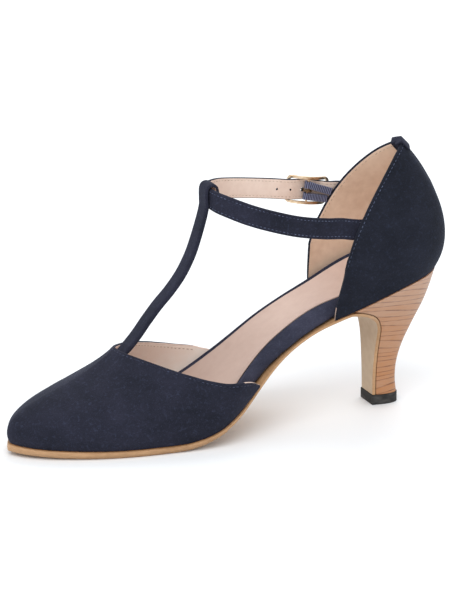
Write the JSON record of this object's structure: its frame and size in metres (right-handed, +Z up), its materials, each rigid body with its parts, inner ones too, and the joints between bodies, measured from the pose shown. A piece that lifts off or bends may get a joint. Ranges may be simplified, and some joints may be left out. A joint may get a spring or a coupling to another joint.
{
  "type": "court shoe",
  "caption": "Closed-toe court shoe with a T-shaped strap, open waist, buckled ankle strap and curved stacked heel, for the right foot.",
  "frame": {"origin": "on the floor, under the middle of the heel's tip", "axes": "+X to the toe, +Y to the inner side of the foot, +Z up from the floor"},
  "size_m": [0.2326, 0.0763, 0.1366],
  "materials": {
    "sole_leather": "smooth tan leather",
    "stacked_heel": "satin, fine dark layer lines",
    "heel_rubber": "matte",
    "suede": "navy nap",
    "sock_leather": "smooth, soft sheen",
    "buckle_metal": "polished pale gold",
    "elastic": "ribbed weave"
  },
  "bodies": {
    "root": {"outsole": "sole_leather", "heel": "stacked_heel", "top_piece": "heel_rubber", "footbed": "suede", "sock_lining": "sock_leather", "vamp": "suede", "quarter": "suede", "back_tab": "suede", "t_strap": "suede", "ankle_strap": "suede", "buckle_frame": "buckle_metal", "buckle_prong": "buckle_metal", "elastic_upper": "elastic", "elastic_lower": "elastic"}
  },
  "joints": []
}
